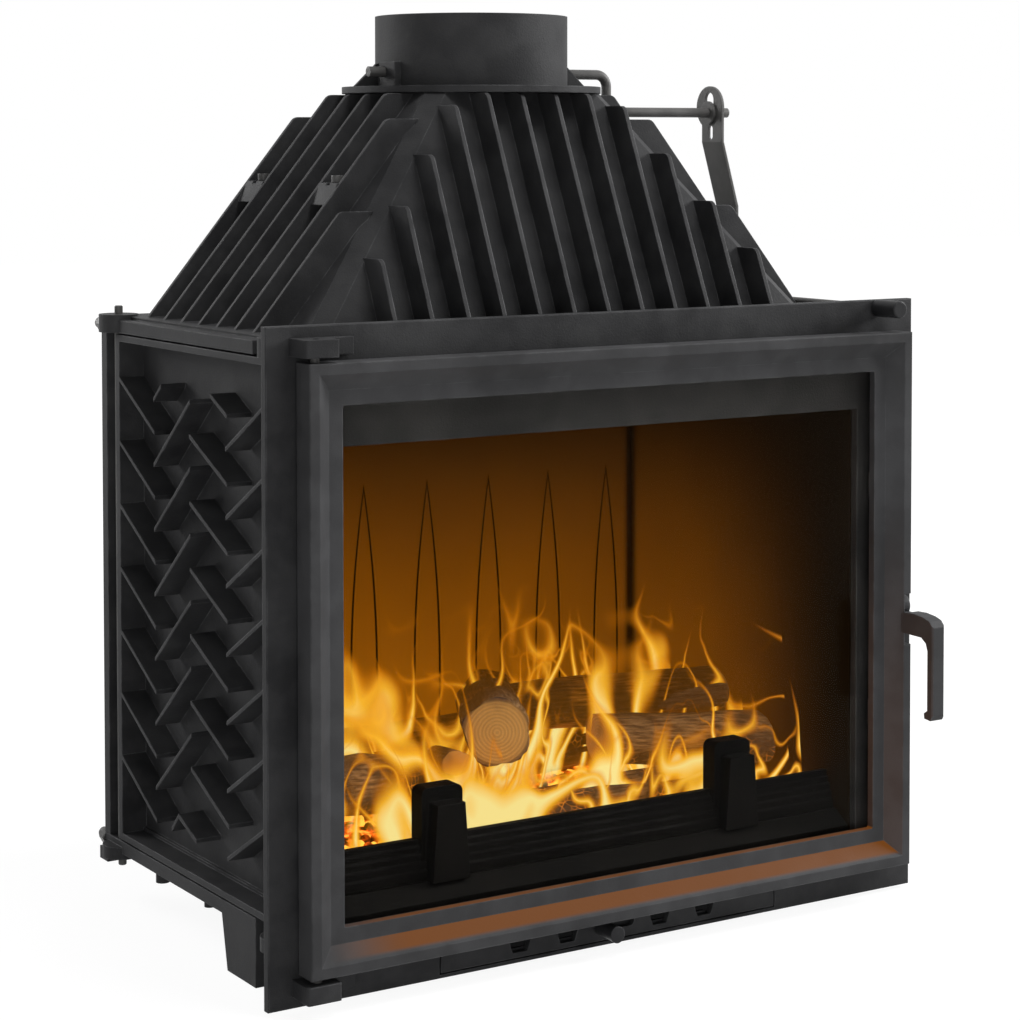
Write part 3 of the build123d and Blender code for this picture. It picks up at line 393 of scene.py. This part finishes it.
sawn, start = fresh("sawn_end")
spread = start.make("UVMap", {"uv_map": "log"}, {})
centred = start.make("VectorMath", {"operation": "LENGTH"}, {0: spread}, "Value")
where = start.make("TexCoord", {}, {}, "Object")
wander = start.make("TexNoise", {}, {"Vector": where, "Scale": 26.0, "Detail": 3.0})
rings = start.make("Math", {"operation": "SINE"}, {0: (centred * 62.0 + wander * 7.0)})
saw_marks = start.make(
    "TexWave", {"bands_direction": "X"}, {"Vector": spread, "Scale": 9.0, "Distortion": 1.5, "Detail": 2.0}
)
tone = (rings * 0.12 + 0.45 + saw_marks * 0.3).tint((0.20, 0.075, 0.016), (0.66, 0.33, 0.08))
rim_char = centred.over(0.80, 1.05) + wander.over(0.52, 0.75) * 0.5
tone = rim_char.maths("MINIMUM", 1.0).blend(tone, rings.tint((0.05, 0.02, 0.008), (0.10, 0.04, 0.015)))
bumped = start.make("Bump", {}, {"Strength": 0.4, "Distance": 0.001, "Height": rings + saw_marks})
# The sawn end also emits its own colour faintly, as painted firelight that lightens it.
finish_surface(
    start, tone, 0.8, bumped, {"Emission Color": tone, "Emission Strength": 0.3}
)


def billet(name, first, last, radius, squash, seed):
    """A round log between two points, uneven under its bark."""
    first = Vector(first)
    last = Vector(last)
    along = (last - first).normalized()
    across = along.cross(Vector((0, 0, 1))).normalized()
    upward = across.cross(along).normalized()
    around, rows = 44, 26
    bulge, bark_relief, end_chamfer = 0.16, 0.05, 0.03
    shape = bmesh.new()
    spread = shape.loops.layers.uv.new("log")
    grid = []
    for row in range(rows + 1):
        t = row / rows
        ring = []
        for step in range(around):
            angle = 2 * math.pi * step / around
            way = across * math.cos(angle) + upward * math.sin(angle) * squash
            spot = first.lerp(last, t)
            swell = 1.0 + bulge * noise.noise(way * 1.6 + along * t * 2.0 + Vector((seed, 0, 0)))
            swell += bark_relief * noise.noise(way * 7.0 + along * t * 9.0 + Vector((0, seed, 0)))
            if row in (0, rows):
                swell -= end_chamfer
            ring.append(shape.verts.new(spot + way * radius * swell))
        grid.append(ring)
    for row in range(rows):
        for step in range(around):
            nxt = (step + 1) % around
            face = shape.faces.new(
                (grid[row][step], grid[row][nxt], grid[row + 1][nxt], grid[row + 1][step])
            )
            face.smooth = True
            for loop, (u, v) in zip(
                face.loops,
                ((step, row), (step + 1, row), (step + 1, row + 1), (step, row + 1)),
            ):
                loop[spread].uv = (u / around, v / rows)
    for ring, centre, turn in ((grid[0], first, 1), (grid[-1], last, -1)):
        middle = shape.verts.new(centre - along * 0.002 * turn)
        for step in range(around):
            nxt = (step + 1) % around
            corner = (ring[nxt], ring[step], middle) if turn > 0 else (ring[step], ring[nxt], middle)
            face = shape.faces.new(corner)
            face.material_index = 1
            for loop in face.loops:
                offset = loop.vert.co - centre
                loop[spread].uv = (offset.dot(across) / radius, offset.dot(upward) / radius)
    bmesh.ops.recalc_face_normals(shape, faces=shape.faces)
    mesh = bpy.data.meshes.new(name)
    shape.to_mesh(mesh)
    shape.free()
    mesh.materials.append(bark)
    mesh.materials.append(sawn)
    log = bpy.data.objects.new(name, mesh)
    bpy.context.scene.collection.objects.link(log)
    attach(log, "stove")


bed_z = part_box("fire_grate")[1][2]
billet("round_log", (-0.060, front + 0.105, 0.184), (0.060, front + 0.318, 0.160), 0.032, 1.0, 3.1)
billet("small_log", (-0.102, front + 0.108, 0.160), (-0.050, front + 0.300, 0.128), 0.015, 0.75, 8.4)
billet("left_log", (-0.262, front + 0.125, 0.150), (-0.060, front + 0.215, 0.120), 0.030, 0.9, 5.7)
billet("right_log", (0.085, front + 0.150, 0.150), (0.262, front + 0.125, 0.135), 0.032, 0.8, 1.3)
billet("upper_log", (0.010, front + 0.235, 0.172), (0.262, front + 0.200, 0.168), 0.030, 0.8, 6.6)
billet("lower_log", (-0.150, front + 0.100, 0.100), (0.225, front + 0.115, 0.100), 0.028, 0.9, 9.9)
billet("rear_log", (-0.230, front + 0.285, 0.120), (0.240, front + 0.270, 0.130), 0.040, 0.9, 4.2)

# Embers cover the grate: small lumps of glowing charcoal, strewn at random.
ember_glow, start = fresh("ember")
where = start.make("TexCoord", {}, {}, "Object")
patch = start.make("TexNoise", {}, {"Vector": where, "Scale": 45.0, "Detail": 4.0})
hot = patch.over(0.42, 0.62)
tone = hot.tint((0.01, 0.006, 0.004), (0.10, 0.02, 0.004))
fire_tone = start.make(
    "ValToRGB",
    {"stops": ((0.0, (0.02, 0.004, 0.0)), (0.45, (0.75, 0.10, 0.005)), (1.0, (1.0, 0.5, 0.06)))},
    {"Fac": hot},
)
bumped = start.make("Bump", {}, {"Strength": 0.6, "Distance": 0.002, "Height": patch})
finish_surface(
    start, tone, 0.9, bumped, {"Emission Color": fire_tone, "Emission Strength": 1.6}
)
bed_mesh = bpy.data.meshes.new("ember_bed")
shape = bmesh.new()
columns, rows = 30, 16
bed_left, bed_width = -0.268, 0.536
bed_front, bed_depth = front + 0.062, 0.27
bed_height, bed_relief = 0.012, 0.010
spots = []
for j in range(rows + 1):
    for i in range(columns + 1):
        x = bed_left + bed_width * i / columns
        y = bed_front + bed_depth * j / rows
        rise = bed_height + bed_relief * noise.noise(Vector((x * 14, y * 14, 2.0)))
        spots.append(shape.verts.new((x, y, bed_z + rise)))
for j in range(rows):
    for i in range(columns):
        a = j * (columns + 1) + i
        shape.faces.new((spots[a], spots[a + 1], spots[a + columns + 2], spots[a + columns + 1]))
shape.to_mesh(bed_mesh)
shape.free()
bed = bpy.data.objects.new("ember_bed", bed_mesh)
bpy.context.scene.collection.objects.link(bed)

# The node group strews turned and stretched lumps on the bed and makes one mesh of all.
tree = bpy.data.node_groups.new("strewn_embers", "GeometryNodeTree")
tree.interface.new_socket("Bed", in_out="INPUT", socket_type="NodeSocketGeometry")
count_socket = tree.interface.new_socket("Per square metre", in_out="INPUT", socket_type="NodeSocketFloat")
size_socket = tree.interface.new_socket("Lump size", in_out="INPUT", socket_type="NodeSocketFloat")
tree.interface.new_socket("Embers", in_out="OUTPUT", socket_type="NodeSocketGeometry")
entry = tree.nodes.new("NodeGroupInput")
scatter = tree.nodes.new("GeometryNodeDistributePointsOnFaces")
scatter.inputs["Seed"].default_value = 7
lump = tree.nodes.new("GeometryNodeMeshIcoSphere")
lump.inputs["Subdivisions"].default_value = 2
turned = tree.nodes.new("FunctionNodeRandomValue")
turned.data_type = "FLOAT_VECTOR"
full_turn = 6.28
turned.inputs[1].default_value = (full_turn, full_turn, full_turn)
sized = tree.nodes.new("FunctionNodeRandomValue")
sized.data_type = "FLOAT_VECTOR"
sized.inputs[0].default_value = (0.5, 0.4, 0.35)
sized.inputs[1].default_value = (1.6, 1.2, 0.9)
placed = tree.nodes.new("GeometryNodeInstanceOnPoints")
solid = tree.nodes.new("GeometryNodeRealizeInstances")
coat = tree.nodes.new("GeometryNodeSetMaterial")
coat.inputs["Material"].default_value = ember_glow
join = tree.nodes.new("GeometryNodeJoinGeometry")
leave = tree.nodes.new("NodeGroupOutput")
tree.links.new(entry.outputs[0], scatter.inputs["Mesh"])
tree.links.new(entry.outputs[1], scatter.inputs["Density"])
tree.links.new(entry.outputs[2], lump.inputs["Radius"])
tree.links.new(scatter.outputs["Points"], placed.inputs["Points"])
tree.links.new(lump.outputs["Mesh"], placed.inputs["Instance"])
tree.links.new(turned.outputs[0], placed.inputs["Rotation"])
tree.links.new(sized.outputs[0], placed.inputs["Scale"])
tree.links.new(placed.outputs["Instances"], join.inputs["Geometry"])
tree.links.new(entry.outputs[0], join.inputs["Geometry"])
tree.links.new(join.outputs["Geometry"], solid.inputs["Geometry"])
tree.links.new(solid.outputs["Geometry"], coat.inputs["Geometry"])
tree.links.new(coat.outputs["Geometry"], leave.inputs[0])
strew = bed.modifiers.new("strew", "NODES")
strew.node_group = tree
lumps_per_square_metre, lump_radius = 3600.0, 0.0085
strew[count_socket.identifier] = lumps_per_square_metre
strew[size_socket.identifier] = lump_radius
ready = bed.evaluated_get(bpy.context.evaluated_depsgraph_get())
finished = bpy.data.meshes.new_from_object(ready)
bed.modifiers.remove(strew)
bed.data = finished
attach(bed, "stove")


# The flames stand between the logs as thin curved veils of burning gas.
# Each veil is clear but for its tongues, which are yellow low down and orange above.
def veil(name, depth, left, right, foot, top, bow, seed, power, fill):
    """One sheet of flame across the firebox.

    Bow is how far it waves in depth, seed picks its tongues, power is how bright they are,
    and fill is how much of its foot burns between them.
    """
    columns, rows = 60, 24
    lean = 0.02
    shape = bmesh.new()
    spots = []
    for j in range(rows + 1):
        for i in range(columns + 1):
            u, v = i / columns, j / rows
            x = left + (right - left) * u
            wave = noise.noise(Vector((x * 9, v * 2.2, seed)))
            y = front + depth + bow * wave + lean * v
            spots.append(shape.verts.new((x, y, foot + (top - foot) * v)))
    for j in range(rows):
        for i in range(columns):
            a = j * (columns + 1) + i
            face = shape.faces.new(
                (spots[a], spots[a + 1], spots[a + columns + 2], spots[a + columns + 1])
            )
            face.smooth = True
    mesh = bpy.data.meshes.new(name)
    shape.to_mesh(mesh)
    shape.free()
    material, start = fresh(name)
    where = start.make("TexCoord", {}, {}, "Object")
    drift = start.make(
        "Mapping", {}, {"Vector": where, "Location": (seed * 1.7, seed, 0.0), "Scale": (1.0, 1.0, 0.55)}
    )
    swirl = start.make("TexNoise", {}, {"Vector": drift, "Scale": 7.0, "Detail": 1.5}, "Color")
    pulled = start.make(
        "Mix", {"data_type": "RGBA", "blend_type": "LINEAR_LIGHT"}, {0: 0.13, 6: drift, 7: swirl}, 2
    )
    tongues = start.make(
        "TexNoise", {}, {"Vector": pulled, "Scale": 9.0, "Detail": 1.2, "Roughness": 0.4}
    )
    strands = start.make(
        "TexNoise", {}, {"Vector": pulled, "Scale": 19.0, "Detail": 1.5, "Roughness": 0.4}
    )
    height = start.make("SeparateXYZ", {}, {"Vector": where}, 2)
    rise = start.make("MapRange", {}, {"Value": height, "From Min": foot, "From Max": top})

    # A tongue or a strand of flame runs where its noise crosses the middle value.
    sharpness = 14.0
    lick = (1.0 - (tongues - 0.5).maths("ABSOLUTE") * sharpness).maths("MAXIMUM", 0.0)
    wisp = (1.0 - (strands - 0.5).maths("ABSOLUTE") * sharpness).maths("MAXIMUM", 0.0)
    body = lick.maths("MAXIMUM", wisp * 0.7) * 0.85 + fill

    # The flame cools and thins with height, and where the crest is high it reaches further up.
    crest = start.make("TexNoise", {}, {"Vector": drift, "Scale": 5.0, "Detail": 1.0}).over(0.38, 0.66)
    heat = (body * (1.45 - rise) - rise * (1.25 - crest * 0.75)).maths("MAXIMUM", 0.0)
    fade = rise.over(0.0, 0.10)
    alpha = (heat.over(0.10, 0.80) * fade).maths("MINIMUM", 1.0)
    tone = start.make(
        "ValToRGB",
        {"stops": (
            (0.0, (0.42, 0.10, 0.0)),
            (0.35, (0.85, 0.26, 0.004)),
            (0.65, (1.0, 0.50, 0.03)),
            (1.0, (1.0, 0.82, 0.30)),
        )},
        {"Fac": heat},
    )
    finish_surface(
        start, (0.0, 0.0, 0.0, 1.0), 1.0, None,
        {"Emission Color": tone, "Emission Strength": power, "Alpha": alpha,
         "Specular IOR Level": 0.0},
    )
    mesh.materials.append(material)
    flame = bpy.data.objects.new(name, mesh)
    bpy.context.scene.collection.objects.link(flame)
    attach(flame, "stove")


veil("flame_front", 0.068, -0.276, 0.276, 0.075, 0.265, 0.010, 2.9, 1.0, 0.18)
veil("flame_second", 0.092, -0.276, 0.276, 0.080, 0.330, 0.010, 5.2, 1.05, 0.20)
veil("flame_third", 0.170, -0.274, 0.274, 0.085, 0.400, 0.022, 9.4, 1.0, 0.15)
veil("flame_fourth", 0.230, -0.274, 0.274, 0.085, 0.330, 0.022, 21.3, 1.0, 0.20)
veil("flame_rear", 0.290, -0.274, 0.274, 0.090, 0.300, 0.020, 13.8, 0.9, 0.15)
